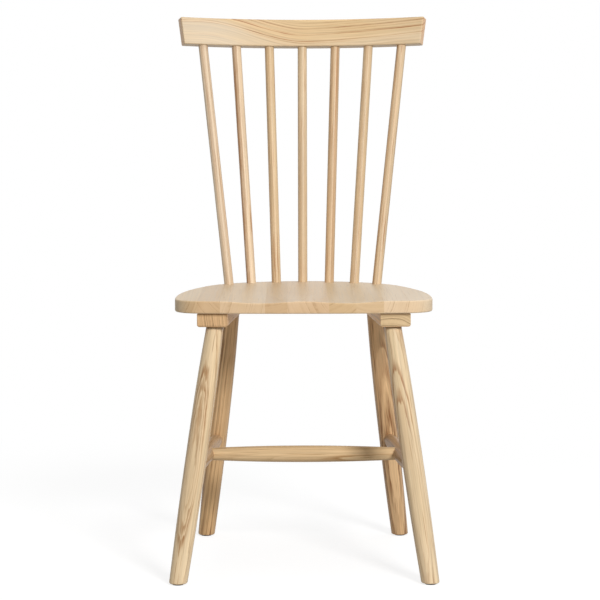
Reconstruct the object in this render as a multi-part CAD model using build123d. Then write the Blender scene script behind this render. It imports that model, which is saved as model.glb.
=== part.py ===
from build123d import *
import math
import os

# A spindle-back dining chair in pale ash: a saddled seat glued up from boards, two battens
# under it that carry four splayed turned legs, an H of turned stretchers, and seven round
# spindles that hold a bent crest rail. All lengths are millimetres, all angles degrees.
# The chair stands on the plane Z = 0 and faces -Y. Left and right are as seen by someone
# facing it, so right is +X.

os.makedirs("parts", exist_ok=True)

# Fits shared by every joint
glue_gap = 0.1
overrun = 30

# Seat
seat_height = 450
seat_corner_width = 403
seat_depth = 407
seat_thickness = 20
seat_front_bow = 9
seat_side_bow = 22
seat_corner_radius = 48
seat_shoulder_radius = 140
seat_top_round = 2.5
seat_bottom_chamfer = 1.6
seat_shoulder_width_share = 0.772
seat_shoulder_depth_share = 0.79
board_joint_shares = (-0.836, -0.657, -0.304, -0.13, 0.198, 0.41, 0.628)

# Saddle worked into the seat top: two thigh hollows with a pommel between them. The top runs
# smoothly through a grid of points, and keeps to them within the fit.
saddle_depth = 6
hollow_spacing = 136
hollow_reach = 68
saddle_deepest_share = 0.42
saddle_front_reach_share = 0.78
saddle_back_reach_share = 0.46
pommel_reach_share = 0.5
saddle_grid_rows = 25
saddle_grid_columns = 29
saddle_smoothness = 3
saddle_fit = 0.02

# Places of the legs: feet on the floor, tops on the underside of the battens
stance_depth = 430
front_foot_spread = 401
rear_foot_spread = 341
front_top_spread = 282.5
rear_top_spread = 242.5
seat_front_set_back = 8
front_top_set_back = 33
rear_top_from_back = 112

# Battens
batten_width = 48
batten_outward = 2
batten_thickness = 22
batten_end_margin = 24
batten_round = 4

# Legs, all four turned alike
leg_top_diameter = 27
leg_upper_diameter = 31.8
leg_belly_diameter = 33.6
leg_lower_diameter = 32.2
leg_foot_diameter = 28.8
leg_upper_share = 0.8
leg_belly_share = 0.46
leg_lower_share = 0.22
leg_tenon_diameter = 20
leg_tenon_length = 15
leg_top_round = 1.2
leg_foot_round = 2.5

# Glides under the feet
glide_diameter = 18
glide_thickness = 2
glide_round = 0.6
glide_pin_diameter = 3
glide_pin_length = 12

# Stretchers
stretcher_height = 179.5
side_end_diameter = 20.6
side_belly_diameter = 27.5
side_plain_end = 22
cross_end_diameter = 21
cross_belly_diameter = 27.6
cross_plain_end = 15
stretcher_stop = 2

# Spindles
spindle_count = 7
spindle_diameter = 16
spindle_end_chamfer = 1
spindle_seat_depth = 14
spindle_crest_depth = 22
spindle_row_radius = 190
spindle_row_width = 253
spindle_row_inset = 20
spindle_top_spacing = 57.5

# Crest rail, bent to an arc and leaning back with the spindles
crest_base_height = 855
crest_top_width = 433
crest_height = 47
crest_thickness = 24
crest_bend = 28
crest_end_flare = 8
crest_round = 2
back_rake = 10

# Screws that hold the battens to the seat
screw_count = 3
screw_head_diameter = 8
screw_head_height = 3.2
screw_shank_diameter = 4
screw_seat_bite = 11
screw_end_margin = 62

# Levels and lines that follow from the sizes above
seat_front = -stance_depth / 2 + seat_front_set_back
seat_back = seat_front + seat_depth
seat_underside = seat_height - seat_thickness
batten_underside = seat_underside - batten_thickness
front_top_y = seat_front + front_top_set_back
rear_top_y = seat_back - rear_top_from_back
spindle_row_y = seat_back - spindle_row_inset


# Round and square blanks are placed by the middle of their base
on_base = (Align.CENTER, Align.CENTER, Align.MIN)


def rod(start, end, diameter, extra_start=0, extra_end=0):
    """A plain round rod from start to end, lengthened at either end."""
    along = (end - start).normalized()
    first = start - along * extra_start
    last = end + along * extra_end
    return Plane(first, z_dir=along) * Cylinder(diameter / 2, (last - first).length, align=on_base)


def point_at_height(line, height):
    """The point of a straight line, given by its two ends, at one height."""
    low, high = line
    share = (height - low.Z) / (high.Z - low.Z)
    return low + (high - low) * share


def leg_line(side, place):
    """The axis of a leg from the floor to the underside of its batten."""
    if place == "front":
        foot = Vector(side * front_foot_spread / 2, -stance_depth / 2, 0)
        top = Vector(side * front_top_spread / 2, front_top_y, batten_underside)
    else:
        foot = Vector(side * rear_foot_spread / 2, stance_depth / 2, 0)
        top = Vector(side * rear_top_spread / 2, rear_top_y, batten_underside)
    return foot, top


def stretcher_line(side):
    """The axis of a side stretcher, from front leg axis to rear leg axis."""
    front = point_at_height(leg_line(side, "front"), stretcher_height)
    rear = point_at_height(leg_line(side, "rear"), stretcher_height)
    return front, rear


def cross_line():
    """The axis of the cross stretcher, between the middles of the side stretchers."""
    front, rear = stretcher_line(1)
    middle = (front + rear) * 0.5
    return Vector(-middle.X, middle.Y, middle.Z), middle


# Seat: the outline is a rear arc, two bowed sides that meet it at soft shoulders, and a
# slightly bowed front edge with rounded corners.
def seat_outline():
    corner_y = seat_front + seat_front_bow
    corner_right = Vector(seat_corner_width / 2, corner_y)
    corner_left = Vector(-seat_corner_width / 2, corner_y)
    shoulder_x = seat_shoulder_width_share * seat_corner_width / 2
    shoulder_y = seat_front + seat_shoulder_depth_share * seat_depth
    shoulder_right = Vector(shoulder_x, shoulder_y)
    shoulder_left = Vector(-shoulder_x, shoulder_y)
    rear_edge = ThreePointArc(shoulder_right, Vector(0, seat_back), shoulder_left)
    left_side = SagittaArc(shoulder_left, corner_left, -seat_side_bow)
    front_edge = ThreePointArc(corner_left, Vector(0, seat_front), corner_right)
    right_side = SagittaArc(corner_right, shoulder_right, -seat_side_bow)
    outline = make_face(Wire([rear_edge.edge(), left_side.edge(), front_edge.edge(), right_side.edge()]))
    outline = fillet(outline.vertices().group_by(Axis.Y)[-1], seat_shoulder_radius)
    return fillet(outline.vertices().group_by(Axis.Y)[0], seat_corner_radius)


def bump(value, centre, reach):
    """1 at the centre, sloping evenly to 0 at the reach and staying there."""
    away = min(abs(value - centre) / reach, 1)
    return (1 - away**2) ** 2


def saddle_drop(x, y):
    """How far the seat top lies below the flat board at one place."""
    back_share = (y - seat_front) / seat_depth
    across = bump(abs(x), hollow_spacing / 2, hollow_reach)
    if abs(x) < hollow_spacing / 2:
        across += (1 - across) * (1 - bump(back_share, 0, pommel_reach_share))
    reach_share = saddle_front_reach_share if back_share < saddle_deepest_share else saddle_back_reach_share
    return saddle_depth * across * bump(back_share, saddle_deepest_share, reach_share)


def saddle_cutter():
    """Everything above the worked seat top, as one solid."""
    half_width = seat_corner_width / 2 + overrun
    length = seat_depth + 2 * overrun
    points = []
    for row in range(saddle_grid_rows):
        y = seat_front - overrun + length * row / (saddle_grid_rows - 1)
        line = []
        for column in range(saddle_grid_columns):
            x = -half_width + 2 * half_width * column / (saddle_grid_columns - 1)
            line.append(Vector(x, y, seat_height - saddle_drop(x, y)))
        points.append(line)
    top = Face.make_surface_from_array_of_points(points, tol=saddle_fit, min_deg=saddle_smoothness)
    return extrude(top, amount=overrun, dir=(0, 0, 1))


def seat_panel():
    """The whole seat, rounded above, its lower edge just broken, before it is seen as boards."""
    blank = Pos(0, 0, seat_underside) * extrude(seat_outline(), seat_thickness + overrun / 2)
    panel = blank - saddle_cutter()
    panel = fillet(panel.faces().sort_by(Axis.Z)[-1].edges(), seat_top_round)
    panel = chamfer(panel.faces().sort_by(Axis.Z)[0].edges(), seat_bottom_chamfer)
    for number in range(spindle_count):
        panel -= spindle_bore(number)
    for side in (-1, 1):
        for place in screw_places(side):
            panel -= screw_bore(place)
    return panel


def seat_boards():
    """The seat cut along its glue lines, from the left edge to the right."""
    panel = seat_panel()
    joints = [share * seat_corner_width / 2 for share in board_joint_shares]
    edges = [-seat_corner_width / 2 - overrun, *joints, seat_corner_width / 2 + overrun]
    boards = []
    for left, right in zip(edges, edges[1:]):
        middle_y = seat_front + seat_depth / 2
        slab = Pos((left + right) / 2, middle_y, seat_height) * Box(
            right - left, seat_depth + 2 * overrun, 2 * seat_thickness + overrun
        )
        boards.append(panel & slab)
    return boards


# Battens: square-edged bars laid along the line through the two leg tops, ends square to it,
# long edges rounded below.
def batten_plane(side):
    front = leg_line(side, "front")[1]
    rear = leg_line(side, "rear")[1]
    outward = Vector(side * batten_outward, 0, 0)
    return Plane(front + outward, x_dir=rear - front, z_dir=(0, 0, 1)), (rear - front).length


def batten(side):
    plane, reach = batten_plane(side)
    length = reach + 2 * batten_end_margin
    bar = Box(length, batten_width, batten_thickness, align=(Align.MIN, Align.CENTER, Align.MIN))
    bar = fillet(bar.faces().sort_by(Axis.Z)[0].edges(), batten_round)
    bar = plane * Pos(-batten_end_margin, 0, 0) * bar
    for place in ("front", "rear"):
        bar -= leg_mortise(side, place)
    for place in screw_places(side):
        bar -= screw_bore(place)
    return bar


# Battens are screwed up into the seat from below. A screw is a countersunk head and a plain
# shank, upside down in its bore.
def screw_places(side):
    plane, reach = batten_plane(side)
    span = reach - 2 * screw_end_margin
    step = span / (screw_count - 1)
    return [(plane * Pos(screw_end_margin + step * number, 0, 0)).position for number in range(screw_count)]


def screw_shape(gap):
    head_radius = screw_head_diameter / 2 + gap
    shank_radius = screw_shank_diameter / 2 + gap
    tip = batten_thickness + screw_seat_bite + gap
    outline = Polyline(
        (0, 0),
        (head_radius, 0),
        (shank_radius, screw_head_height),
        (shank_radius, tip - shank_radius),
        (0, tip),
        close=True,
    )
    return revolve(Plane.XZ * make_face(outline), Axis.Z)


def screw(place):
    return Pos(place) * screw_shape(0)


def screw_bore(place):
    return Pos(place) * screw_shape(glue_gap)


# Legs: one turned profile for all four, cut level at the floor and at the batten, with a
# round tenon at the top.
def leg_mortise(side, place):
    foot, top = leg_line(side, place)
    along = (top - foot).normalized()
    return rod(top, top + along * leg_tenon_length, leg_tenon_diameter + 2 * glue_gap, overrun, glue_gap)


def leg_blank(side, place):
    """The turned leg on its axis, running past both ends with its end tapers."""
    foot, top = leg_line(side, place)
    length = (top - foot).length
    lower = leg_lower_share * length
    upper = leg_upper_share * length
    foot_taper = (leg_lower_diameter - leg_foot_diameter) / lower
    top_taper = (leg_upper_diameter - leg_top_diameter) / (length - upper)
    stations = (
        (-overrun, leg_foot_diameter - foot_taper * overrun),
        (0, leg_foot_diameter),
        (lower, leg_lower_diameter),
        (leg_belly_share * length, leg_belly_diameter),
        (upper, leg_upper_diameter),
        (length, leg_top_diameter),
        (length + overrun, leg_top_diameter - top_taper * overrun),
    )
    curve = Spline([(diameter / 2, along_leg) for along_leg, diameter in stations])
    axis = Polyline(curve @ 1, (0, length + overrun), (0, -overrun), curve @ 0)
    outline = make_face(Wire([curve.edge(), *axis.edges()]))
    return Plane(foot, z_dir=(top - foot)) * revolve(Plane.XZ * outline, Axis.Z)


def leg(side, place):
    foot, top = leg_line(side, place)
    along = (top - foot).normalized()
    height = batten_underside - glide_thickness
    reach = stance_depth + front_foot_spread
    body = leg_blank(side, place) & (Pos(0, 0, glide_thickness) * Box(reach, reach, height, align=on_base))
    body = fillet(body.faces().sort_by(Axis.Z)[-1].edges(), leg_top_round)
    body = fillet(body.faces().sort_by(Axis.Z)[0].edges(), leg_foot_round)
    tenon = rod(top, top + along * leg_tenon_length, leg_tenon_diameter, leg_tenon_length)
    body += tenon
    body -= side_stretcher_bore(side)
    body -= Pos(foot.X, foot.Y, 0) * glide_shape(glue_gap)
    return body


# Glides: a thin disc under each foot with a pin driven up into the leg.
def glide_shape(gap):
    disc = Cylinder(glide_diameter / 2, glide_thickness, align=on_base)
    if gap == 0:
        disc = fillet(disc.faces().sort_by(Axis.Z)[0].edges(), glide_round)
    pin_height = glide_thickness + glide_pin_length + gap
    return disc + Cylinder(glide_pin_diameter / 2 + gap, pin_height, align=on_base)


def glide(side, place):
    foot = leg_line(side, place)[0]
    return Pos(foot.X, foot.Y, 0) * glide_shape(0)


# Stretchers: cigar-shaped turnings whose plain ends are let whole into the wood they meet.
def cigar(line, end_diameter, belly_diameter, plain_end, stop):
    start, end = line
    along = (end - start).normalized()
    length = (end - start).length
    end_radius = end_diameter / 2
    widest = (belly_diameter / 2, length / 2)
    swell = ThreePointArc((end_radius, plain_end), widest, (end_radius, length - plain_end))
    rest = Polyline(
        (end_radius, length - plain_end),
        (end_radius, length - stop),
        (0, length - stop),
        (0, stop),
        (end_radius, stop),
        (end_radius, plain_end),
    )
    outline = make_face(Wire([swell.edge(), *rest.edges()]))
    return Plane(start, z_dir=along) * revolve(Plane.XZ * outline, Axis.Z)


def side_stretcher_bore(side):
    front, rear = stretcher_line(side)
    shorten = stretcher_stop - glue_gap
    along = (rear - front).normalized()
    return rod(front + along * shorten, rear - along * shorten, side_end_diameter + 2 * glue_gap)


def cross_stretcher_bore():
    left, right = cross_line()
    shorten = stretcher_stop - glue_gap
    along = (right - left).normalized()
    return rod(left + along * shorten, right - along * shorten, cross_end_diameter + 2 * glue_gap)


def side_stretcher(side):
    bar = cigar(stretcher_line(side), side_end_diameter, side_belly_diameter, side_plain_end, stretcher_stop)
    return bar - cross_stretcher_bore()


def cross_stretcher():
    return cigar(cross_line(), cross_end_diameter, cross_belly_diameter, cross_plain_end, stretcher_stop)


# Crest rail: a strip bent to an arc with its ends forward, leant back with the spindles. Its
# ends are sawn square to the bend and flare outwards going up. Its own frame has its origin
# under its middle, at half its thickness.
def bend_radius():
    half_chord = crest_top_width / 2
    return (half_chord**2 + crest_bend**2) / (2 * crest_bend)


def crest_plane():
    lean = math.radians(back_rake)
    back = spindle_row_y + (crest_base_height - seat_height) * math.tan(lean)
    return Plane((0, back, crest_base_height), x_dir=(1, 0, 0), z_dir=(0, math.sin(lean), math.cos(lean)))


def crest_end_cutter(side):
    """Everything beyond one end of the crest rail, with the end's top corner at full width."""
    outer = bend_radius() + crest_thickness / 2
    end_angle = math.asin(crest_top_width / 2 / outer)
    flare = math.radians(crest_end_flare)
    corner = Vector(side * crest_top_width / 2, outer * math.cos(end_angle) - bend_radius(), crest_height)
    level = math.cos(flare)
    outward = Vector(side * math.cos(end_angle) * level, -math.sin(end_angle) * level, -math.sin(flare))
    reach = crest_height + crest_thickness + overrun
    return Plane(corner, z_dir=outward) * Box(2 * reach, 2 * reach, reach, align=on_base)


def crest_rail():
    radius = bend_radius()
    ring = Circle(radius + crest_thickness / 2) - Circle(radius - crest_thickness / 2)
    stretch = (Pos(0, -radius, 0) * ring) & Rectangle(crest_top_width + overrun, 2 * radius)
    rail = extrude(stretch, crest_height)
    for side in (-1, 1):
        rail -= crest_end_cutter(side)
    rail = crest_plane() * fillet(rail.edges(), crest_round)
    for number in range(spindle_count):
        rail -= spindle_bore(number)
    return rail


# Spindles: seven straight rods, on a tight arc in the seat and on the crest's arc above.
def spindle_line(number):
    place = number - (spindle_count - 1) / 2
    share = place / ((spindle_count - 1) / 2)
    half_angle = math.asin(spindle_row_width / 2 / spindle_row_radius)
    angle = share * half_angle
    base_x = spindle_row_radius * math.sin(angle)
    base_y = spindle_row_y - spindle_row_radius * (1 - math.cos(angle))
    top_x = place * spindle_top_spacing
    radius = bend_radius()
    sag = radius - math.sqrt(radius**2 - top_x**2)
    top = (crest_plane() * Pos(top_x, -sag, 0)).position
    return Vector(base_x, base_y, seat_height), top


def spindle(number):
    base, top = spindle_line(number)
    body = rod(base, top, spindle_diameter, spindle_seat_depth, spindle_crest_depth)
    return chamfer(body.edges().filter_by(GeomType.CIRCLE), spindle_end_chamfer)


def spindle_bore(number):
    base, top = spindle_line(number)
    bore_diameter = spindle_diameter + 2 * glue_gap
    return rod(base, top, bore_diameter, spindle_seat_depth + glue_gap, spindle_crest_depth + glue_gap)


# The chair, piece by piece
side_names = {-1: "left", 1: "right"}
pieces = {}
for number, board in enumerate(seat_boards(), start=1):
    pieces[f"seat_board_{number}"] = board
for side, side_name in side_names.items():
    pieces[f"batten_{side_name}"] = batten(side)
    pieces[f"side_stretcher_{side_name}"] = side_stretcher(side)
    for place in ("front", "rear"):
        pieces[f"{place}_leg_{side_name}"] = leg(side, place)
        pieces[f"{place}_glide_{side_name}"] = glide(side, place)
pieces["cross_stretcher"] = cross_stretcher()
pieces["crest_rail"] = crest_rail()
for number in range(spindle_count):
    pieces[f"spindle_{number + 1}"] = spindle(number)
screws = [screw(place).solid() for side in side_names for place in screw_places(side)]
pieces["batten_screws"] = Compound(screws)

# The chair stands centred on its own footprint
every_solid = [solid for piece in pieces.values() for solid in piece.solids()]
centred = Pos(0, -Compound(every_solid).bounding_box().center().Y, 0)
for name, piece in pieces.items():
    export_step(centred * piece, f"parts/{name}.step")
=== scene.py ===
import math

import bmesh
import bpy
from mathutils import Matrix, Vector, noise


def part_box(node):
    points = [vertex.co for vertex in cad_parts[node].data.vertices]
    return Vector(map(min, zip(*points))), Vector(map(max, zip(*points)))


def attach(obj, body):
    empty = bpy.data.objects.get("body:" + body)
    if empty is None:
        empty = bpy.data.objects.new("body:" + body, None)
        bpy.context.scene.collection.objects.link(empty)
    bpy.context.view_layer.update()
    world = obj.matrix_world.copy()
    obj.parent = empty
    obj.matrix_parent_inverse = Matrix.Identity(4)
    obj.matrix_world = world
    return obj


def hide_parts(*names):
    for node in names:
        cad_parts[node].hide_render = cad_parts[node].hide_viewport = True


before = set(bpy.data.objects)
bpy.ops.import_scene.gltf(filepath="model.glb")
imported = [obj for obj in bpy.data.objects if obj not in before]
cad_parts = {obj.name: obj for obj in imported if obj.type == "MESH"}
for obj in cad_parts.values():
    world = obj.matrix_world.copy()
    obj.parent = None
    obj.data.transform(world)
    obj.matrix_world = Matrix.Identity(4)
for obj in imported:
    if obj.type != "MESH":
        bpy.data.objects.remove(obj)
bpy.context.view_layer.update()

# Seat
# Eight boards of pale ash, glued edge to edge with their grain from front to back, then sawn to
# shape, hollowed for the sitter and rounded over. The front edge therefore shows end grain.
# Every board comes from another plank, so each has its own tone and its own growth rings.
seat_nodes = [f"seat_board_{number}" for number in range(1, 9)]
seat_front = min(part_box(node)[0].y for node in seat_nodes)
seat_back = max(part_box(node)[1].y for node in seat_nodes)
seat_top = max(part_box(node)[1].z for node in seat_nodes)


def feed(tree, entry, value):
    """Links an input to another node's socket, or sets it to a value."""
    if isinstance(value, bpy.types.NodeSocket):
        tree.links.new(value, entry)
    else:
        entry.default_value = value


def add_node(tree, kind, inputs=(), **settings):
    """A shader node with its settings, and its inputs set to values or linked to other sockets."""
    made = tree.nodes.new(kind)
    for name, value in settings.items():
        setattr(made, name, value)
    for socket, value in dict(inputs).items():
        feed(tree, made.inputs[socket], value)
    return made


def math_node(tree, operation, first, second=0.0):
    """The outcome of an operation on one or two numbers, each a value or a socket."""
    return add_node(tree, "ShaderNodeMath", {0: first, 1: second}, operation=operation).outputs[0]


def times(tree, first, second):
    return math_node(tree, "MULTIPLY", first, second)


def vector_node(tree, operation, first, second):
    """The outcome of an operation on two places, or on a place and a number when it scales."""
    made = add_node(tree, "ShaderNodeVectorMath", {0: first}, operation=operation)
    feed(tree, made.inputs["Scale" if operation == "SCALE" else 1], second)
    return made.outputs["Value" if operation in ("LENGTH", "DOT_PRODUCT") else "Vector"]


def stretched_noise(tree, place, across, along, detail=2.0, output="Fac"):
    """Noise drawn out along the grain. The two scales are features a metre, across and along it."""
    scaled = vector_node(tree, "MULTIPLY", place, (across, across, along))
    made = add_node(tree, "ShaderNodeTexNoise", {"Vector": scaled, "Scale": 1.0, "Detail": detail})
    return made.outputs[output]


def smooth_step(tree, value, low, high, to_low=0.0, to_high=1.0):
    """Eases from to_low to to_high while a value goes from low to high."""
    made = add_node(tree, "ShaderNodeMapRange", {"Value": value}, interpolation_type="SMOOTHSTEP")
    for entry, amount in zip(made.inputs[1:5], (low, high, to_low, to_high)):
        entry.default_value = amount
    return made.outputs["Result"]


def blended(tree, share, first, second, mode="MIX"):
    """A colour blended into another: none of the second at a share of 0, and all of it at 1."""
    made = add_node(tree, "ShaderNodeMix", data_type="RGBA", blend_type=mode)
    for name, value in (("Factor_Float", share), ("A_Color", first), ("B_Color", second)):
        feed(tree, next(one for one in made.inputs if one.identifier == name), value)
    return next(one for one in made.outputs if one.identifier == "Result_Color")


def new_finish(name):
    """A new material, its node tree, and the shader of its surface."""
    made = bpy.data.materials.new(name)
    made.use_nodes = True
    return made, made.node_tree, made.node_tree.nodes["Principled BSDF"]


def fine_relief(tree, surface, height, strength, distance):
    """Lifts a surface by a height that varies over it. distance is a height of 1, in metres."""
    bump = {"Height": height, "Strength": strength, "Distance": distance}
    bump = add_node(tree, "ShaderNodeBump", bump)
    tree.links.new(bump.outputs[0], surface.inputs["Normal"])


def growth_rings():
    """The wood itself, as it lies in the log: its heart runs along Z through the origin, in metres.

    It gives the slow darkening through each ring, the fine line of open pores that ends each
    ring, the broad drift between cream sapwood and tan heartwood, the fibres, dark flecks, the
    distance from the heart, and how strong such a line is from place to place."""
    tree = bpy.data.node_groups.new("growth rings", "ShaderNodeTree")
    face = tree.interface
    face.new_socket("Place", in_out="INPUT", socket_type="NodeSocketVector")
    for name in ("Ring gap", "Taper", "Heartwood", "Seed", "Sway"):
        face.new_socket(name, in_out="INPUT", socket_type="NodeSocketFloat")
    gives = ("Late wood", "Line", "Drift", "Fibre", "Flecks", "Reach", "Fade")
    for name in gives:
        face.new_socket(name, in_out="OUTPUT", socket_type="NodeSocketFloat")
    given = tree.nodes.new("NodeGroupInput").outputs
    place = given["Place"]
    bent = place
    # No log is quite round or straight. Each row is a scale across, one along, how far it pushes
    # the rings, and whether a piece may have more or less of it.
    for across, along, push, varies in (
        (7.0, 2.4, 0.014, True),
        (60.0, 9.0, 0.0022, True),
        (220.0, 30.0, 0.0007, False),
    ):
        sway = stretched_noise(tree, place, across, along, 2.0, "Color")
        sway = vector_node(tree, "SUBTRACT", sway, (0.5, 0.5, 0.5))
        push = times(tree, given["Sway"], push) if varies else push
        bent = vector_node(tree, "ADD", bent, vector_node(tree, "SCALE", sway, push))
    parts = add_node(tree, "ShaderNodeSeparateXYZ", {0: bent}).outputs
    flat = add_node(tree, "ShaderNodeCombineXYZ", {0: parts[0], 1: parts[1]}).outputs[0]
    reach = vector_node(tree, "LENGTH", flat, (0.0, 0.0, 0.0))
    reach = math_node(tree, "ADD", reach, times(tree, parts[2], given["Taper"]))
    count = math_node(tree, "DIVIDE", reach, given["Ring gap"])
    count = math_node(tree, "ADD", count, given["Seed"])
    # Good and lean years make wide and narrow rings, strong and weak ones.
    years = {"W": count, "Scale": 0.45, "Detail": 1.0}
    years = add_node(tree, "ShaderNodeTexNoise", years, noise_dimensions="1D").outputs["Fac"]
    count = math_node(tree, "ADD", count, times(tree, years, 2.6))
    within = math_node(tree, "FRACT", count)
    ring = math_node(tree, "FLOOR", count)
    strength = add_node(tree, "ShaderNodeTexWhiteNoise", {"W": ring}, noise_dimensions="1D")
    strength = strength.outputs["Value"]
    # The wood darkens through each ring and stops short where the next begins.
    ending = smooth_step(tree, within, 0.94, 1.0, 1.0, 0.0)
    late = times(tree, smooth_step(tree, within, 0.0, 0.9), ending)
    late = times(tree, late, smooth_step(tree, strength, 0.0, 1.0, 0.35, 1.0))
    # The pores open in a ragged, broken line there.
    patch = stretched_noise(tree, place, 40.0, 6.0)
    streak = stretched_noise(tree, place, 170.0, 13.0)
    wide = math_node(tree, "ADD", within, times(tree, math_node(tree, "SUBTRACT", streak, 0.5), 0.5))
    line = times(tree, smooth_step(tree, wide, 0.66, 0.94), ending)
    line = times(tree, line, smooth_step(tree, strength, 0.15, 0.85, 0.12, 1.0))
    broken = smooth_step(tree, stretched_noise(tree, place, 420.0, 34.0), 0.35, 0.62, 0.55, 1.0)
    fade = times(tree, smooth_step(tree, patch, 0.36, 0.6, 0.3, 1.0), broken)
    line = times(tree, line, fade)
    # Heartwood is tanner than sapwood, and either drifts a little.
    heartwood = math_node(tree, "SUBTRACT", given["Heartwood"], reach)
    heartwood = smooth_step(tree, heartwood, -0.008, 0.012, 0.0, 0.62)
    drift = smooth_step(tree, stretched_noise(tree, place, 20.0, 2.6, 3.0), 0.33, 0.67, 0.0, 0.6)
    drift = math_node(tree, "ADD", drift, heartwood)
    # Fibres run the length of the wood, with a dark fleck here and there.
    streaks = stretched_noise(tree, place, 330.0, 5.0, 3.0)
    hairs = stretched_noise(tree, place, 1500.0, 22.0)
    fibre = math_node(tree, "ADD", times(tree, streaks, 0.7), times(tree, hairs, 0.3))
    flecks = smooth_step(tree, stretched_noise(tree, place, 480.0, 11.0, 1.0), 0.62, 0.74)
    leave = tree.nodes.new("NodeGroupOutput").inputs
    for name, socket in zip(gives, (late, line, drift, fibre, flecks, reach, fade)):
        tree.links.new(socket, leave[name])
    return tree


rings_in_ash = growth_rings()
# A painted shade, standing in for the contact shadow under a part above: how far down it reaches, how
# dark it gets, and its colour
pooled_depth = 0.0055
pooled_share = 0.78
pooled_tone = (0.12, 0.06, 0.02, 1.0)


def ash(name, tones, along, heart, gap, taper, lines=1.0, late_share=0.14, heartwood=0.0, **looks):
    """Ash under clear satin lacquer, from cream, tan and brown tones. along is the grain's
    direction, which tells end grain from the rest, and heart is where the piece lay, measured
    from the log's heart. gap is a ring's width, taper the log's, and heartwood how far tan wood
    reaches. lines is how strong the rows of pores are, and late_share how dark a ring becomes.

    Looks that a piece may have of its own: from_mesh takes the place in the log from the mesh's
    grain values, not from where the piece lies; sway is how unevenly its rings run; bold lists
    dark rings by distance from the heart, width and strength; beside is how strongly rings show
    away from end grain, whose tint is end_tone; lively is how mottled the fibres are; gloss is
    the lacquer's, and gloss_above that of its top; pooled is a height under which a
    painted shade darkens the wood, standing in for the contact shadow of the part above."""
    from_mesh = looks.get("from_mesh", True)
    cream, tan, brown = ((*tone, 1.0) for tone in tones)
    made, tree, surface = new_finish(name)
    if from_mesh:
        own = add_node(tree, "ShaderNodeAttribute", attribute_name="grain").outputs["Vector"]
    else:
        where = add_node(tree, "ShaderNodeTexCoord").outputs["Object"]
        turned_over = {"Vector": where, "Rotation": (math.pi / 2, 0.0, 0.0)}
        own = add_node(tree, "ShaderNodeMapping", turned_over).outputs[0]
    wood = add_node(tree, "ShaderNodeGroup", node_tree=rings_in_ash)
    tree.links.new(vector_node(tree, "ADD", own, heart), wood.inputs["Place"])
    years_apart = 11.3 * heart[2]
    settings = {"Ring gap": gap, "Taper": taper, "Heartwood": heartwood, "Seed": years_apart}
    settings["Sway"] = looks.get("sway", 1.0)
    for socket, value in settings.items():
        wood.inputs[socket].default_value = value
    late, line, drift, fibre, flecks, reach, fade = wood.outputs
    facing = add_node(tree, "ShaderNodeNewGeometry").outputs["Normal"]
    end = math_node(tree, "ABSOLUTE", vector_node(tree, "DOT_PRODUCT", facing, along))
    end = smooth_step(tree, end, 0.55, 0.95)
    beside = smooth_step(tree, end, 0.0, 1.0, looks.get("beside", 1.0), 1.0)
    late = times(tree, late, beside)
    clearer = smooth_step(tree, end, 0.0, 1.0, 0.7 * lines, 1.3 * lines)
    line = times(tree, times(tree, line, beside), clearer)
    for bold, width, strength in looks.get("bold", ()):
        past = math_node(tree, "SUBTRACT", reach, bold + taper * heart[2])
        before = smooth_step(tree, past, -width, 0.0)
        mark = times(tree, before, smooth_step(tree, past, 0.0, width / 4, strength, 0.0))
        line = math_node(tree, "MAXIMUM", line, times(tree, mark, fade))
    colour = blended(tree, drift, cream, tan)
    colour = blended(tree, times(tree, late, late_share), colour, brown)
    colour = blended(tree, times(tree, line, 0.8), colour, brown)
    lengthwise = math_node(tree, "SUBTRACT", 1.0, times(tree, end, 0.85))
    colour = blended(tree, times(tree, times(tree, flecks, lengthwise), 0.4 * lines), colour, brown)
    lively = smooth_step(tree, fibre, 0.28, 0.72, 0.84, 1.13)
    lively = add_node(tree, "ShaderNodeCombineColor", {0: lively, 1: lively, 2: lively}).outputs[0]
    lengthwise = times(tree, lengthwise, looks.get("lively", 1.0))
    colour = blended(tree, lengthwise, colour, lively, "MULTIPLY")
    end_tone = (*looks.get("end_tone", (0.89, 0.82, 0.74)), 1.0)
    colour = blended(tree, end, colour, end_tone, "MULTIPLY")
    # Painted shade: the wood darkens towards a given height, as a contact shadow would. It is scaled by
    # beside, so a piece with a low beside shows it mostly on its end grain.
    if "pooled" in looks:
        pooled_top = looks["pooled"]
        pooled_foot = pooled_top - pooled_depth
        level = add_node(tree, "ShaderNodeTexCoord").outputs["Object"]
        level = add_node(tree, "ShaderNodeSeparateXYZ", {0: level}).outputs[2]
        level = smooth_step(tree, level, pooled_foot, pooled_top, 0.0, pooled_share)
        colour = blended(tree, times(tree, level, beside), colour, pooled_tone)
    tree.links.new(colour, surface.inputs["Base Color"])
    tree.links.new(smooth_step(tree, fibre, 0.2, 0.8, 0.34, 0.46), surface.inputs["Roughness"])
    surface.inputs["IOR"].default_value = 1.48
    surface.inputs["Specular IOR Level"].default_value = looks.get("gloss", 0.25)
    if "gloss_above" in looks:
        upward = add_node(tree, "ShaderNodeSeparateXYZ", {0: facing}).outputs[2]
        upward = smooth_step(tree, upward, 0.4, 0.9, looks["gloss"], looks["gloss_above"])
        tree.links.new(upward, surface.inputs["Specular IOR Level"])
    height = math_node(tree, "SUBTRACT", times(tree, fibre, 0.5), times(tree, line, 0.6))
    fine_relief(tree, surface, height, strength=0.25, distance=0.0003)
    return made


seat_brown = (0.40, 0.25, 0.13)
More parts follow.
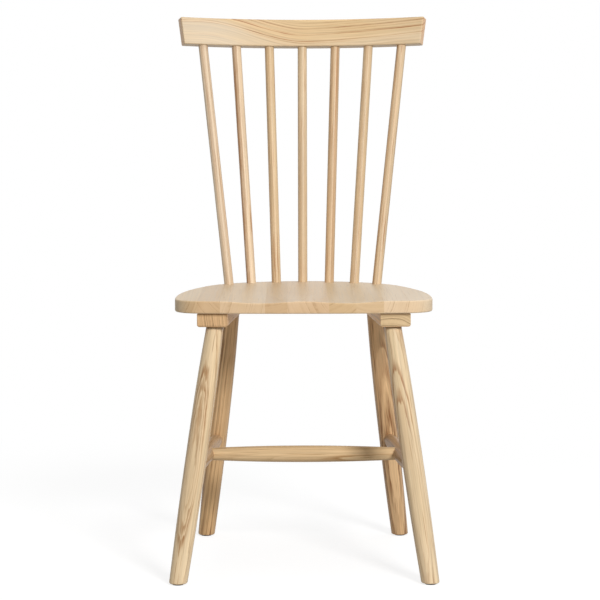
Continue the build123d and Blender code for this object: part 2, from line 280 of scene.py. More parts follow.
# A cream tone, a tan one, how far the board's middle lay beside the heart, and its top below it
seat_boards = (
    ((0.70, 0.54, 0.35), (0.62, 0.45, 0.26), 0.085, 0.030),
    ((0.66, 0.49, 0.31), (0.58, 0.41, 0.23), -0.060, 0.045),
    ((0.71, 0.55, 0.37), (0.64, 0.47, 0.28), 0.110, 0.025),
    ((0.64, 0.47, 0.29), (0.57, 0.40, 0.23), 0.018, 0.055),
    ((0.71, 0.54, 0.36), (0.62, 0.44, 0.26), -0.095, 0.040),
    ((0.66, 0.50, 0.31), (0.60, 0.43, 0.24), 0.050, 0.060),
    ((0.72, 0.56, 0.37), (0.64, 0.48, 0.29), -0.012, 0.070),
    ((0.75, 0.60, 0.42), (0.69, 0.53, 0.35), 0.130, 0.030),
)
for number, (cream, tan, sideways, below) in enumerate(seat_boards):
    node = seat_nodes[number]
    middle = (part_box(node)[0].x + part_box(node)[1].x) / 2
    heart = (sideways - middle, seat_top + below, 0.37 * number)
    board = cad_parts[node]
    finish = ash(
        f"seat_ash_{number + 1}",
        tones=(cream, tan, seat_brown),
        along=(0, 1, 0),
        heart=heart,
        gap=0.0065,
        taper=0.02,
        lines=0.75,
        late_share=0.14,
        from_mesh=False,
        beside=0.5,
        end_tone=(0.96, 0.90, 0.84),
        lively=0.45,
        gloss=0.06,
        gloss_above=0.5,
    )
    for held in board.material_slots:
        held.material = finish

# Battens
# Two bars of ash under the seat, laid from front to back and closing towards the back. Their
# lower edges are rounded over, and their ends show end grain. Each carries two legs, and is
# held up against the seat by three screws in countersunk bores.
leg_top_half = {"front": 0.14125, "rear": 0.12125}
leg_top_y = {"front": seat_front + 0.033, "rear": seat_back - 0.112}
batten_width = 0.048
batten_outward = 0.002
batten_end_margin = 0.024
batten_round = 0.004
batten_soften = 0.0006
batten_eased = 0.0020
batten_rim = 0.0005
# How far under the seat the painted contact shadow on the battens' ends begins
batten_pooled_below = 0.0006
batten_corner_rows = 4
batten_round_rows = 8
batten_eased_rows = 4
screw_count = 3
screw_end_margin = 0.062
countersink_top_radius = 0.0041
countersink_foot_radius = 0.0021
countersink_depth = 0.0032
countersink_sides = 48
batten_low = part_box("batten_left")[0].z
batten_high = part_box("batten_left")[1].z
side_names = {-1: "left", 1: "right"}
crisp_edge = math.radians(40)


def finished(build, name, material, grain_of):
    """A bmesh made into a piece of the chair: shaded smooth between its crisp edges, with the
    place in the log of each of its points kept on the mesh for the wood's grain."""
    bmesh.ops.recalc_face_normals(build, faces=build.faces)
    mesh = bpy.data.meshes.new(name)
    build.to_mesh(mesh)
    build.free()
    for face in mesh.polygons:
        face.use_smooth = True
    mesh.set_sharp_from_angle(angle=crisp_edge)
    grain = mesh.attributes.new("grain", "FLOAT_VECTOR", "POINT")
    for index, point in enumerate(mesh.vertices):
        grain.data[index].vector = grain_of(point.co)
    mesh.materials.append(material)
    piece = bpy.data.objects.new(name, mesh)
    bpy.context.scene.collection.objects.link(piece)
    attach(piece, "root")
    return piece


def grain_frame(start, end, face):
    """A function that turns a place into its distances from a straight piece's start: towards the
    face that is given, sideways, and along the piece."""
    along = (end - start).normalized()
    towards = (Vector(face) - along * along.dot(Vector(face))).normalized()
    sideways = along.cross(towards)

    def place_in_piece(point):
        away = point - start
        return Vector((away.dot(towards), away.dot(sideways), away.dot(along)))

    return place_in_piece


def skin(build, rings, closed=(True, True)):
    """Joins a stack of rings of points into a solid. Each end that is to be closed gets a smaller
    ring and a fan. The rows of corners are given back."""
    rows = [[build.verts.new(point) for point in ring] for ring in rings]
    for low, high in zip(rows, rows[1:]):
        for index in range(len(low)):
            after = (index + 1) % len(low)
            build.faces.new((low[index], low[after], high[after], high[index]))
    for row in [row for row, close in zip((rows[0], rows[-1]), closed) if close]:
        middle = sum((vert.co for vert in row), Vector()) / len(row)
        inner = [build.verts.new(vert.co.lerp(middle, 0.5)) for vert in row]
        centre = build.verts.new(middle)
        for index in range(len(row)):
            after = (index + 1) % len(row)
            build.faces.new((row[index], row[after], inner[after], inner[index]))
            build.faces.new((inner[index], inner[after], centre))
    return rows


def circle(middle, radius, sides):
    """Points round a level circle."""
    turns = [2 * math.pi * step / sides for step in range(sides)]
    return [middle + Vector((radius * math.cos(turn), radius * math.sin(turn), 0)) for turn in turns]


def fill_between(build, rims):
    """Fills a level face that lies between an outer rim and the rims of its openings."""
    edges = [build.edges.get((rim[one - 1], rim[one])) for rim in rims for one in range(len(rim))]
    bmesh.ops.triangle_fill(build, edges=edges, use_beauty=True)


def bar_ring(front, rear, height, inset):
    """The outline of a batten at one height: an oblong with softened corners, drawn in by an inset."""
    along = (rear - front).normalized()
    across = Vector((along.y, -along.x, 0))
    middle = (front + rear) / 2
    half_length = (rear - front).length / 2 + batten_end_margin - inset - batten_soften
    half_width = batten_width / 2 - inset - batten_soften
    ring = []
    for corner, (lengthwise, sideways) in enumerate(((1, 1), (-1, 1), (-1, -1), (1, -1))):
        for row in range(batten_corner_rows + 1):
            turn = math.pi / 2 * (corner + row / batten_corner_rows)
            ahead = lengthwise * half_length + batten_soften * math.cos(turn)
            aside = sideways * half_width + batten_soften * math.sin(turn)
            place = middle + along * ahead + across * aside
            place.z = height
            ring.append(place)
    return ring


batten_brown = (0.36, 0.21, 0.10)
batten_ash = {
    -1: {
        "tones": ((0.74, 0.47, 0.24), (0.65, 0.39, 0.19), batten_brown),
        "heart": (0.004, 0.190, 0.0),
        "gap": 0.0043,
        "end_tone": (0.96, 0.99, 1.03),
    },
    1: {
        "tones": ((0.94, 0.64, 0.36), (0.86, 0.56, 0.28), batten_brown),
        "heart": (0.050, 0.010, 0.3),
        "gap": 0.0046,
        "end_tone": (0.70, 0.75, 0.77),
    },
}
screw_places = []
for side, side_name in side_names.items():
    front, rear = (
        Vector((side * leg_top_half[place] + side * batten_outward, leg_top_y[place], batten_low))
        for place in ("front", "rear")
    )
    along = (rear - front).normalized()
    levels = [(batten_low, batten_round + batten_rim)]
    for row in range(batten_round_rows + 1):
        turn = math.pi / 2 * row / batten_round_rows
        height = batten_low + batten_round * (1 - math.cos(turn))
        levels.append((height, batten_round * (1 - math.sin(turn))))
    levels.append((batten_low + batten_round + batten_rim, 0))
    levels.append((batten_high - batten_eased - batten_rim, 0))
    for row in range(batten_eased_rows + 1):
        turn = math.pi / 2 * row / batten_eased_rows
        height = batten_high - batten_eased * (1 - math.sin(turn))
        levels.append((height, batten_eased * (1 - math.cos(turn))))
    levels.append((batten_high, batten_eased + batten_rim))
    bar = bmesh.new()
    rows = skin(bar, [bar_ring(front, rear, *level) for level in levels], (False, True))
    rims = [rows[0]]
    step = ((rear - front).length - 2 * screw_end_margin) / (screw_count - 1)
    for number in range(screw_count):
        middle = front + along * (screw_end_margin + step * number)
        screw_places.append(middle)
        deep = middle + Vector((0, 0, countersink_depth))
        mouth = circle(middle, countersink_top_radius, countersink_sides)
        foot = circle(deep, countersink_foot_radius, countersink_sides)
        rims.append(skin(bar, [mouth, foot], (False, True))[0])
    fill_between(bar, rims)
    finish = ash(
        f"batten_ash_{side_name}",
        along=along,
        taper=0.02,
        lines=2.6,
        late_share=0.75,
        beside=0.15,
        gloss=0.06,
        # Painted shade: a contact shadow along the top of the batten's ends, just under the seat
        pooled=batten_high - batten_pooled_below,
        **batten_ash[side],
    )
    batten = finished(bar, f"batten_{side_name}_bar", finish, grain_frame(front, rear, (0, 0, 1)))
    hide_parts(f"batten_{side_name}")

# Legs
# Four turned ash legs, all cut from one pattern: a slight belly below the middle, a little
# narrower at the foot and at the top. They splay to all four corners, and their feet and tops
# are sawn level. Their tenons, out of sight in the battens above, are left out.
leg_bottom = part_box("front_leg_left")[0].z
leg_profile = ((0.0, 0.0288), (0.22, 0.0322), (0.46, 0.0336), (0.8, 0.0318), (1.0, 0.0270))
leg_foot_round = 0.0025
leg_top_round = 0.0012
leg_sides = 72
leg_rows = 96
leg_soft_rows = 6
# How far under the batten the painted contact shadow on the legs begins
leg_pooled_below = 0.0002
leg_waves_along = 18
leg_waves_round = 1.3
unevenness = 0.00004


def smooth_profile(stations, share):
    """The diameter at a share of the length, on a smooth curve through the stations."""
    spans = list(zip(stations, stations[1:]))
    slopes = [(high[1] - low[1]) / (high[0] - low[0]) for low, high in spans]
    joined = [slopes[0], *[(one + two) / 2 for one, two in zip(slopes, slopes[1:])], slopes[-1]]
    for index, (low, high) in enumerate(spans):
        if share <= high[0] or index == len(spans) - 1:
            width = high[0] - low[0]
            part = (share - low[0]) / width
            return (
                (2 * part**3 - 3 * part**2 + 1) * low[1]
                + (part**3 - 2 * part**2 + part) * width * joined[index]
                + (3 * part**2 - 2 * part**3) * high[1]
                + (part**3 - part**2) * width * joined[index + 1]
            )


def leg_rings(foot, top, radius_at):
    """Rings of a leg whose ends are level though its axis leans, with softened rims."""
    along = (top - foot).normalized()
    across = along.orthogonal().normalized()
    other = along.cross(across)
    length = (top - foot).length
    rings = [[] for _ in range(leg_rows + 1 + 2 * leg_soft_rows)]
    for step in range(leg_sides):
        angle = 2 * math.pi * step / leg_sides
        outward = across * math.cos(angle) + other * math.sin(angle)

        def point(height, inset):
            distance = (height - foot.z) / along.z
            for _ in range(4):
                radius = radius_at(distance / length) - inset
                distance = (height - foot.z - radius * outward.z) / along.z
            middle = foot + along * distance
            swell = unevenness * noise.noise(middle * leg_waves_along + outward * leg_waves_round)
            return middle + outward * (radius + swell)

        low = foot.z + leg_foot_round
        high = top.z - leg_top_round
        column = []
        for row in range(leg_soft_rows):
            turn = math.pi / 2 * row / leg_soft_rows
            height = low - leg_foot_round * math.cos(turn)
            column.append(point(height, leg_foot_round * (1 - math.sin(turn))))
        for row in range(leg_rows + 1):
            column.append(point(low + (high - low) * row / leg_rows, 0))
        for row in range(1, leg_soft_rows + 1):
            turn = math.pi / 2 * row / leg_soft_rows
            height = high + leg_top_round * math.sin(turn)
            column.append(point(height, leg_top_round * (1 - math.cos(turn))))
        for ring, place in zip(rings, column):
            ring.append(place)
    return rings


leg_ash = {
    "front_left": {
        "tones": ((0.79, 0.62, 0.40), (0.67, 0.49, 0.28), (0.36, 0.19, 0.08)),
        "heart": (0.0055, -0.0022, 0.10),
        "taper": 0.0,
        "lines": 1.8,
        "late_share": 0.22,
        "bold": ((0.02155, 0.0006, 1.3), (0.02200, 0.0004, 1.1), (0.02240, 0.0003, 1.0)),
    },
    "front_right": {
        "tones": ((0.77, 0.61, 0.40), (0.64, 0.47, 0.26), (0.36, 0.18, 0.08)),
        "heart": (0.0055, -0.0022, 0.65),
        "taper": -0.008,
        "lines": 1.8,
        "late_share": 0.22,
        "bold": ((0.01895, 0.0008, 1.3), (0.02010, 0.0005, 1.1)),
    },
    "rear_left": {
        "tones": ((0.83, 0.56, 0.30), (0.68, 0.42, 0.19), (0.27, 0.13, 0.05)),
        "heart": (0.006, -0.030, 1.30),
        "taper": 0.010,
        "lines": 2.2,
        "late_share": 0.35,
        "bold": (
            (0.0225, 0.0025, 1.0),
            (0.0312, 0.0045, 1.4),
            (0.0375, 0.0020, 1.0),
            (0.0430, 0.0028, 1.1),
            (0.0468, 0.0020, 1.1),
        ),
    },
    "rear_right": {
        "tones": ((0.79, 0.53, 0.29), (0.66, 0.42, 0.20), (0.28, 0.13, 0.05)),
        "heart": (0.0055, 0.0010, 1.90),
        "taper": -0.008,
        "lines": 2.4,
        "late_share": 0.40,
        "bold": (
            (0.0156, 0.0020, 1.6),
            (0.0178, 0.0010, 1.3),
            (0.0192, 0.0014, 1.5),
            (0.0206, 0.0010, 1.4),
        ),
    },
}
leg_lines = {}
for side, side_name in side_names.items():
    for place in ("front", "rear"):
        low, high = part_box(f"{place}_glide_{side_name}")
        foot = Vector(((low.x + high.x) / 2, (low.y + high.y) / 2, 0))
        top = Vector((side * leg_top_half[place], leg_top_y[place], batten_low))
        leg_lines[place, side] = (foot, top)
        floor_share = leg_bottom / top.z
        cut = foot.lerp(top, floor_share)

        def leg_radius(share, floor_share=floor_share):
            return smooth_profile(leg_profile, floor_share + share * (1 - floor_share)) / 2

        which = f"{place}_{side_name}"
        finish = ash(
            f"{which}_ash",
            along=(top - foot).normalized(),
            gap=0.0034,
            sway=0.25,
            # Painted shade: a contact shadow round the top of the leg, just under the batten
            pooled=batten_low - leg_pooled_below,
            **leg_ash[which],
        )
        turned = bmesh.new()
        skin(turned, leg_rings(cut, top, leg_radius))
        grain_of = grain_frame(foot, top, (0, -1, 0))
        leg = finished(turned, f"{place}_leg_{side_name}_turning", finish, grain_of)
        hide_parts(f"{place}_leg_{side_name}")

# Glides
# A thin disc of dark plastic nailed under each foot, moulded with a faint pebble so that it
# doesn't shine.
new_plastic = (0.014, 0.012, 0.010, 1.0)
worn_plastic = (0.035, 0.030, 0.026, 1.0)


def mottle(tree, scale, detail):
    """Noise that is the same in all directions, of so many features a metre."""
    where = add_node(tree, "ShaderNodeTexCoord").outputs["Object"]
    made = add_node(tree, "ShaderNodeTexNoise", {"Vector": where, "Scale": scale, "Detail": detail})
    return made.outputs["Fac"]


glide_plastic, tree, surface = new_finish("glide_plastic")
pebble = mottle(tree, 900.0, 3.0)
scuffs = mottle(tree, 160.0, 4.0)
dark_plastic = blended(tree, smooth_step(tree, scuffs, 0.52, 0.7), new_plastic, worn_plastic)
tree.links.new(dark_plastic, surface.inputs["Base Color"])
tree.links.new(smooth_step(tree, scuffs, 0.3, 0.7, 0.5, 0.75), surface.inputs["Roughness"])
surface.inputs["Specular IOR Level"].default_value = 0.25
fine_relief(tree, surface, pebble, strength=0.3, distance=0.0002)
for place in ("front", "rear"):
    for side_name in side_names.values():
        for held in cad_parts[f"{place}_glide_{side_name}"].material_slots:
            held.material = glide_plastic

# Stretchers
# Three cigar-shaped turnings of ash: one from front leg to rear leg at each side, and one across
# between their middles. Their plain ends are let whole into the wood that they meet.
stretcher_height = 0.1795
stretcher_sides = 64
stretcher_rows = 72
side_end_diameter = 0.0206
side_belly_diameter = 0.0275
side_plain_end = 0.022
cross_end_diameter = 0.021
cross_belly_diameter = 0.0276
cross_plain_end = 0.015
stretcher_stop = 0.002
turning_waves_along = 22
turning_waves_round = 1.1


def turned_rings(start, end, radius_at, sides, rows):
    """Rings of a straight turning. radius_at takes the distance from the start."""
    along = (end - start).normalized()
    across = along.orthogonal().normalized()
    other = along.cross(across)
    length = (end - start).length
    rings = []
    for row in range(rows + 1):
        distance = length * row / rows
        ring = []
        for step in range(sides):
            angle = 2 * math.pi * step / sides
            outward = across * math.cos(angle) + other * math.sin(angle)
            middle = start + along * distance
            swell = unevenness * noise.noise(middle * turning_waves_along + outward * turning_waves_round)
            ring.append(middle + outward * (radius_at(distance) + swell))
        rings.append(ring)
    return rings


def stretcher(name, start, end, end_diameter, belly_diameter, plain_end, tones, heart):
    """A cigar-shaped turning: a circle's arc between its plain ends."""
    along = (end - start).normalized()
    length = (end - start).length
    rise = (belly_diameter - end_diameter) / 2
    half = length / 2 - plain_end
    arc_radius = (half**2 + rise**2) / (2 * rise)

    def radius_at(distance):
        away = min(abs(distance + stretcher_stop - length / 2), half)
        return belly_diameter / 2 - arc_radius + math.sqrt(arc_radius**2 - away**2)

    turned = bmesh.new()
    first = start + along * stretcher_stop
    last = end - along * stretcher_stop
    skin(turned, turned_rings(first, last, radius_at, stretcher_sides, stretcher_rows))
    finish = ash(
        f"{name}_ash",
        tones=tones,
        along=along,
        heart=heart,
        gap=0.0048,
        taper=0.03,
        lines=1.6,
        late_share=0.25,
        gloss=0.06,
    )
    piece = finished(turned, f"{name}_turning", finish, grain_frame(start, end, (0, -1, 1)))
    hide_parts(name)


def at_height(line, height):
    """The point of a straight line, given by its two ends, at one height."""
    low, high = line
    return low.lerp(high, (height - low.z) / (high.z - low.z))


# Painted shade: the side stretchers get darker, browner tones than the cross stretcher, for the shade
# that falls on them behind the front legs
side_stretcher_shaded_tones = {
    -1: ((0.58, 0.39, 0.22), (0.50, 0.31, 0.16), (0.32, 0.17, 0.07)),
    1: ((0.56, 0.37, 0.21), (0.47, 0.29, 0.15), (0.30, 0.15, 0.06)),
}
side_stretcher_heart = {-1: (0.020, -0.026, 0.2), 1: (0.020, 0.026, 0.6)}
cross_stretcher_tones = ((0.72, 0.52, 0.30), (0.64, 0.44, 0.235), (0.37, 0.20, 0.08))
cross_stretcher_heart = (0.008, 0.055, 2.6)
stretcher_middles = {}
for side, side_name in side_names.items():
    front = at_height(leg_lines["front", side], stretcher_height)
    rear = at_height(leg_lines["rear", side], stretcher_height)
    stretcher_middles[side] = front.lerp(rear, 0.5)
    name = f"side_stretcher_{side_name}"
    sizes = (side_end_diameter, side_belly_diameter, side_plain_end)
    stretcher(name, front, rear, *sizes, side_stretcher_shaded_tones[side], side_stretcher_heart[side])
sizes = (cross_end_diameter, cross_belly_diameter, cross_plain_end)
ends = (stretcher_middles[-1], stretcher_middles[1])
stretcher("cross_stretcher", *ends, *sizes, cross_stretcher_tones, cross_stretcher_heart)

# Spindles
# Seven straight ash dowels. They stand on a tight arc near the back of the seat, fan out, and
# are glued into bored sockets, whole, in the seat below and in the crest rail above.
spindle_count = 7
spindle_diameter = 0.016
spindle_row_radius = 0.190
spindle_row_width = 0.253
spindle_row_inset = 0.020
spindle_row_y = seat_back - spindle_row_inset
spindle_top_spacing = 0.0575
spindle_in_seat = 0.010
spindle_in_crest = 0.018
spindle_chamfer = 0.001
spindle_sides = 48
spindle_rows = 64
seat_flat_height = 0.450
crest_top_width = 0.433
crest_bend = 0.028
crest_base_height = 0.855
crest_lean = math.radians(10)
crest_radius = ((crest_top_width / 2) ** 2 + crest_bend**2) / (2 * crest_bend)
crest_back = spindle_row_y + (crest_base_height - seat_flat_height) * math.tan(crest_lean)
crest_up = Vector((0, math.sin(crest_lean), math.cos(crest_lean)))
crest_rearward = Vector((0, math.cos(crest_lean), -math.sin(crest_lean)))


def crest_place(angle, depth, height):
    """A place in the crest rail: an angle round its bend, a depth from its middle, and a height."""
    reach = crest_radius + depth
    sideways = Vector((reach * math.sin(angle), 0, 0))
    rearward = crest_rearward * (reach * math.cos(angle) - crest_radius)
    return Vector((0, crest_back, crest_base_height)) + sideways + rearward + crest_up * height


def spindle_line(number):
    """The axis of one spindle, from the seat's flat height to the foot of the crest rail."""
    place = number - (spindle_count - 1) / 2
    half_angle = math.asin(spindle_row_width / 2 / spindle_row_radius)
    angle = half_angle * place / ((spindle_count - 1) / 2)
    base_y = spindle_row_y - spindle_row_radius * (1 - math.cos(angle))
    base = Vector((spindle_row_radius * math.sin(angle), base_y, seat_flat_height))
    return base, crest_place(math.asin(place * spindle_top_spacing / crest_radius), 0, 0)


spindle_brown = (0.44, 0.24, 0.12)
left_of_heart = (0.004, -0.020)
right_of_heart = (0.004, 0.020)
# A cream tone, a tan one, and the side of the heart that the spindle was sawn from
spindle_ash = (
    ((0.73, 0.58, 0.41), (0.64, 0.49, 0.32), left_of_heart),
    ((0.79, 0.63, 0.44), (0.71, 0.53, 0.34), left_of_heart),
    ((0.70, 0.53, 0.33), (0.59, 0.41, 0.22), right_of_heart),
    ((0.68, 0.53, 0.34), (0.60, 0.43, 0.25), right_of_heart),
    ((0.68, 0.50, 0.31), (0.59, 0.40, 0.22), left_of_heart),
    ((0.71, 0.55, 0.35), (0.62, 0.45, 0.26), right_of_heart),
    ((0.69, 0.53, 0.34), (0.60, 0.42, 0.24), left_of_heart),
)
# The two bold rings of each spindle
spindle_bold = (
    ((0.0252, 0.0016, 0.6), (0.0186, 0.0012, 0.5)),
    ((0.0283, 0.0034, 2.0), (0.0248, 0.0018, 1.2)),
    ((0.0166, 0.0024, 0.8), (0.0226, 0.0014, 0.7)),
    ((0.0212, 0.0050, 0.5), (0.0270, 0.0012, 0.6)),
    ((0.0278, 0.0016, 0.8), (0.0206, 0.0014, 0.8)),
    ((0.0206, 0.0055, 0.55), (0.0250, 0.0012, 0.6)),
    ((0.0279, 0.0016, 0.9), (0.0244, 0.0014, 0.8)),
)
for number in range(spindle_count):
    base, top = spindle_line(number)
    along = (top - base).normalized()
    first = base - along * spindle_in_seat
    last = top + along * spindle_in_crest
    length = (last - first).length

    def spindle_radius(distance, length=length):
        from_end = min(distance, length - distance)
        return spindle_diameter / 2 - max(spindle_chamfer - from_end, 0)

    turned = bmesh.new()
    skin(turned, turned_rings(first, last, spindle_radius, spindle_sides, spindle_rows))
    cream, tan, aside = spindle_ash[number]
    finish = ash(
        f"spindle_ash_{number + 1}",
        tones=(cream, tan, spindle_brown),
        along=along,
        heart=(*aside, 0.37 * number + 0.2),
        gap=0.0042,
        taper=0.002,
        lines=2.4,
        late_share=0.30,
        bold=spindle_bold[number],
        sway=0.25,
    )
    grain_of = grain_frame(first, last, (0, -1, 0))
    dowel = finished(turned, f"spindle_{number + 1}_dowel", finish, grain_of)
    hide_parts(f"spindle_{number + 1}")

# Crest rail
# One length of ash, steamed and bent to an arc with its ends forward, and leant back with the
# spindles. Its ends are sawn square to the bend and flare out going up, and all its edges are
# rounded over. Its grain runs along it, and climbs to its upper edge on the left.
crest_height = 0.0469
crest_thickness = 0.0239
crest_flare = math.radians(8)
crest_round = 0.002
crest_trim = 0.0001
crest_rows = 150
crest_end_rows = 7
crest_corner_rows = 7
crest_longest_step = 0.004
crest_least_corner = 0.999
crest_outer = crest_radius + crest_thickness / 2
crest_end_angle = math.asin((crest_top_width / 2 - crest_trim) / crest_outer)


def crest_section(inset):
    """The rounded outline of the rail's section as (depth, height) points, drawn in by an inset."""
    points = []
    radius = crest_round - inset
    for corner in range(4):
        rearward = 1 if corner in (0, 3) else -1
        upward = 1 if corner in (0, 1) else -1
        middle_depth = (crest_thickness / 2 - crest_round) * rearward
        middle_height = crest_height / 2 + (crest_height / 2 - crest_round) * upward
        for row in range(crest_corner_rows + 1):
            angle = math.pi / 2 * (corner + row / crest_corner_rows)
            depth = middle_depth + radius * math.cos(angle)
            points.append((depth, middle_height + radius * math.sin(angle)))
    dense = []
    for one, two in zip(points, points[1:] + points[:1]):
        gap = math.dist(one, two)
        parts = max(1, round(gap / crest_longest_step))
        for part in range(parts):
            share = part / parts
            dense.append((one[0] + (two[0] - one[0]) * share, one[1] + (two[1] - one[1]) * share))
    return dense


def crest_end(depth, height):
    """The angle at which the sawn end cuts the rail at one depth and height."""
    reach = crest_radius + depth
    return crest_end_angle + math.asin(math.tan(crest_flare) * (height - crest_height) / reach)


full = crest_section(0)
small = crest_section(crest_round * crest_least_corner)
rings = []
for side in side_names:
    block = []
    for row in range(crest_end_rows + 1):
        turn = math.pi / 2 * row / crest_end_rows
        drawn_in = 1 - math.sin(turn)
        back_off = crest_round * (1 - math.cos(turn))
        ring = []
        for (depth, height), (in_depth, in_height) in zip(full, small):
            end_depth = depth + (in_depth - depth) * drawn_in
            end_height = height + (in_height - height) * drawn_in
            angle = crest_end(end_depth, end_height) - back_off / crest_radius
            ring.append(crest_place(side * angle, end_depth, end_height))
        block.append(ring)
    if side == -1:
        rings += block
        for row in range(1, crest_rows):
            share = 2 * row / crest_rows - 1
            ring = []
            for depth, height in full:
                reach = crest_end(depth, height) - crest_round / crest_radius
                ring.append(crest_place(share * reach, depth, height))
            rings.append(ring)
    else:
        rings += block[::-1]


crest_climb_from = 0.01
crest_climb_reach = 0.19
crest_left_climb = 0.040
crest_right_climb = 0.15


def crest_grain(point):
    """Where a place in the bent rail lay in the log: (height, depth, along). The rings climb in a
    smooth sweep on the left, and slightly towards the right end."""
    away = point - Vector((0, crest_back, crest_base_height))
    rearward = away.dot(crest_rearward) + crest_radius
    angle = math.atan2(away.x, rearward)
    depth = math.hypot(away.x, rearward) - crest_radius
    along = angle * crest_radius
    leftward = min(max((crest_climb_from - along) / crest_climb_reach, 0), 1)
    climb = crest_left_climb * (3 * leftward**2 - 2 * leftward**3)
    climb = climb + crest_right_climb * max(along, 0) ** 2
    return Vector((away.dot(crest_up) - climb, depth, along))


rail = bmesh.new()
skin(rail, rings)
crest_tones = ((0.64, 0.525, 0.375), (0.68, 0.49, 0.27), (0.40, 0.19, 0.08))
crest_heart = (-0.090, 0.032, 0.0)
crest_lines = (
    (0.0873, 0.0012, 1.1),
    (0.0844, 0.0020, 1.6),
    (0.0800, 0.0010, 0.7),
    (0.0738, 0.0024, 1.7),
    (0.0714, 0.0012, 1.1),
    (0.0671, 0.0014, 1.0),
    (0.0632, 0.0020, 1.5),
    (0.0585, 0.0012, 0.9),
    (0.0545, 0.0014, 0.8),
)
finish = ash(
    "crest_ash",
    tones=crest_tones,
    along=(1, 0, 0),
    heart=crest_heart,
    gap=0.0026,
    taper=0.02,
    lines=0.5,
    late_share=0.06,
    heartwood=0.0870,
    bold=crest_lines,
    sway=0.8,
    end_tone=(1.28, 1.08, 0.95),
    gloss=0.2,
)
crest = finished(rail, "crest_rail_board", finish, crest_grain)
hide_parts("crest_rail")

# Screws
# Three countersunk steel screws a side hold each batten up against the seat. Only their heads
# show, from below, each with a cross for the driver.
screw_head_radius = 0.004
screw_head_height = 0.0032
screw_shank_radius = 0.002
screw_length = 0.033
screw_sides = 48
screw_tip_share = 0.25
cross_half_width = 0.00045
cross_reach = 0.0021
cross_depth = 0.0016
cross_foot_share = 0.6

screw_steel, tree, surface = new_finish("screw_steel")
surface.inputs["Metallic"].default_value = 1.0
cloudy = mottle(tree, 700.0, 4.0)
bright_zinc = (0.62, 0.62, 0.60, 1.0)
dull_zinc = (0.48, 0.49, 0.50, 1.0)
zinc = blended(tree, smooth_step(tree, cloudy, 0.35, 0.65), bright_zinc, dull_zinc)
tree.links.new(zinc, surface.inputs["Base Color"])
tree.links.new(smooth_step(tree, cloudy, 0.3, 0.7, 0.28, 0.46), surface.inputs["Roughness"])
fine_relief(tree, surface, cloudy, strength=0.15, distance=0.0001)

screws = bmesh.new()
cross_outline = []
for quarter in range(4):
    turn = Matrix.Rotation(math.pi / 2 * quarter, 2)
    for corner in (
        (cross_half_width, cross_half_width),
        (cross_half_width, cross_reach),
        (-cross_half_width, cross_reach),
    ):
        cross_outline.append(turn @ Vector(corner))
for middle in screw_places:
    outline = (
        (screw_head_radius, 0.0),
        (screw_shank_radius, screw_head_height),
        (screw_shank_radius, screw_length - screw_shank_radius),
        (screw_shank_radius * screw_tip_share, screw_length),
    )
    rings = [circle(middle + Vector((0, 0, height)), radius, screw_sides) for radius, height in outline]
    rows = skin(screws, rings, (False, True))
    mouth = [middle + Vector((*point, 0.0)) for point in cross_outline]
    sunk = [middle + Vector((*(point * cross_foot_share), cross_depth)) for point in cross_outline]
    recess = skin(screws, [mouth, sunk], (False, True))
    fill_between(screws, (rows[0], recess[0]))
screw_set = finished(screws, "batten_screw_set", screw_steel, lambda point: point)
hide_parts("batten_screws")

# Studio
# A white paper floor that runs out of sight, one soft lamp at the front and right and a fainter
# one above, and a camera about 0.8 m above the floor and four metres in front of the chair's
# middle, looking slightly down.
floor_half = 14.0
white_from = 0.6
white_beyond = 1.5


def sight_rays(tree):
    """1 for the camera's rays, also off gloss and through glass, and 0 for those that give light."""
    ray = add_node(tree, "ShaderNodeLightPath").outputs
    seen = math_node(tree, "MAXIMUM", ray["Is Camera Ray"], ray["Is Glossy Ray"])
    return math_node(tree, "MAXIMUM", seen, ray["Is Transmission Ray"])


floor_mesh = bpy.data.meshes.new("floor")
floor_corners = [
    (-floor_half, -floor_half, 0),
    (floor_half, -floor_half, 0),
    (floor_half, floor_half, 0),
    (-floor_half, floor_half, 0),
]
floor_mesh.from_pydata(floor_corners, [], [(0, 1, 2, 3)])
floor = bpy.data.objects.new("floor", floor_mesh)
bpy.context.scene.collection.objects.link(floor)
floor_paper, tree, surface = new_finish("floor_paper")
surface.inputs["Base Color"].default_value = (0.56, 0.56, 0.56, 1.0)
surface.inputs["Roughness"].default_value = 0.9
surface.inputs["Specular IOR Level"].default_value = 0.1
seen = sight_rays(tree)
white = add_node(tree, "ShaderNodeEmission", {"Color": (1.0, 1.0, 1.0, 1.0), "Strength": 1.0})
grey = add_node(tree, "ShaderNodeEmission", {"Color": (0.81, 0.81, 0.81, 1.0), "Strength": 1.0})
shade = add_node(tree, "ShaderNodeBsdfDiffuse", {"Color": (0.30, 0.30, 0.30, 1.0)})
paper = add_node(tree, "ShaderNodeAddShader", {0: grey.outputs[0], 1: shade.outputs[0]})
where = add_node(tree, "ShaderNodeTexCoord").outputs["Object"]
away = vector_node(tree, "LENGTH", where, (0.0, 0.0, 0.0))
away = smooth_step(tree, away, white_from, white_beyond)
paper = add_node(tree, "ShaderNodeMixShader", {0: away, 1: paper.outputs[0], 2: white.outputs[0]})
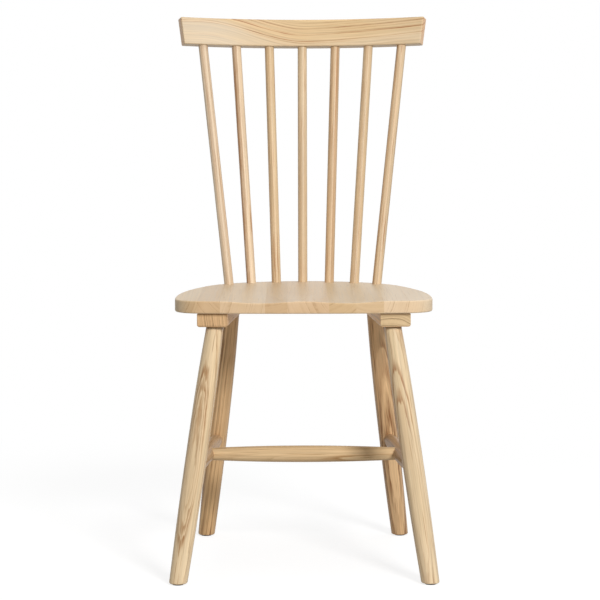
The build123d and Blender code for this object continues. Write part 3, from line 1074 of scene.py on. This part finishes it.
both = add_node(tree, "ShaderNodeMixShader", {0: seen, 1: surface.outputs[0], 2: paper.outputs[0]})
tree.links.new(both.outputs[0], tree.nodes["Material Output"].inputs["Surface"])
floor_mesh.materials.append(floor_paper)

world = bpy.data.worlds.new("studio")
bpy.context.scene.world = world
world.use_nodes = True
tree = world.node_tree
seen = sight_rays(tree)
around = tree.nodes["Background"]
around.inputs["Color"].default_value = (1.0, 1.0, 1.0, 1.0)
around.inputs["Strength"].default_value = 0.30
backdrop = add_node(tree, "ShaderNodeBackground", {"Color": (1.0, 1.0, 1.0, 1.0), "Strength": 1.0})
both = add_node(tree, "ShaderNodeMixShader", {0: seen, 1: around.outputs[0], 2: backdrop.outputs[0]})
tree.links.new(both.outputs[0], tree.nodes["World Output"].inputs["Surface"])


def soft_box(name, place, aim, width, power):
    """A round lamp that faces what it is aimed at."""
    lamp = bpy.data.lights.new(name, "AREA")
    lamp.shape = "DISK"
    lamp.size = width
    lamp.energy = power
    held = bpy.data.objects.new(name, lamp)
    bpy.context.scene.collection.objects.link(held)
    turn = (Vector(aim) - Vector(place)).to_track_quat("-Z", "Y").to_matrix().to_4x4()
    held.matrix_world = Matrix.Translation(place) @ turn


chair_middle = (0, 0, 0.5)
soft_box("key", place=(1.64, -4.33, 2.42), aim=chair_middle, width=1.15, power=188)
soft_box("top", place=(0.1, -0.2, 3.4), aim=chair_middle, width=2.2, power=20)

camera_data = bpy.data.cameras.new("camera")
camera_data.sensor_width = 36
camera_data.lens = 146.9
camera = bpy.data.objects.new("camera", camera_data)
bpy.context.scene.collection.objects.link(camera)
camera_place = (-0.0183, -4.0677, 0.7852)
camera_pan = Matrix.Rotation(math.radians(-0.182), 4, "Z")
camera_tilt = Matrix.Rotation(math.radians(85.041), 4, "X")
camera_roll = Matrix.Rotation(math.radians(-0.097), 4, "Z")
camera.matrix_world = Matrix.Translation(camera_place) @ camera_pan @ camera_tilt @ camera_roll
bpy.context.scene.camera = camera
bpy.context.scene.view_settings.view_transform = "Standard"
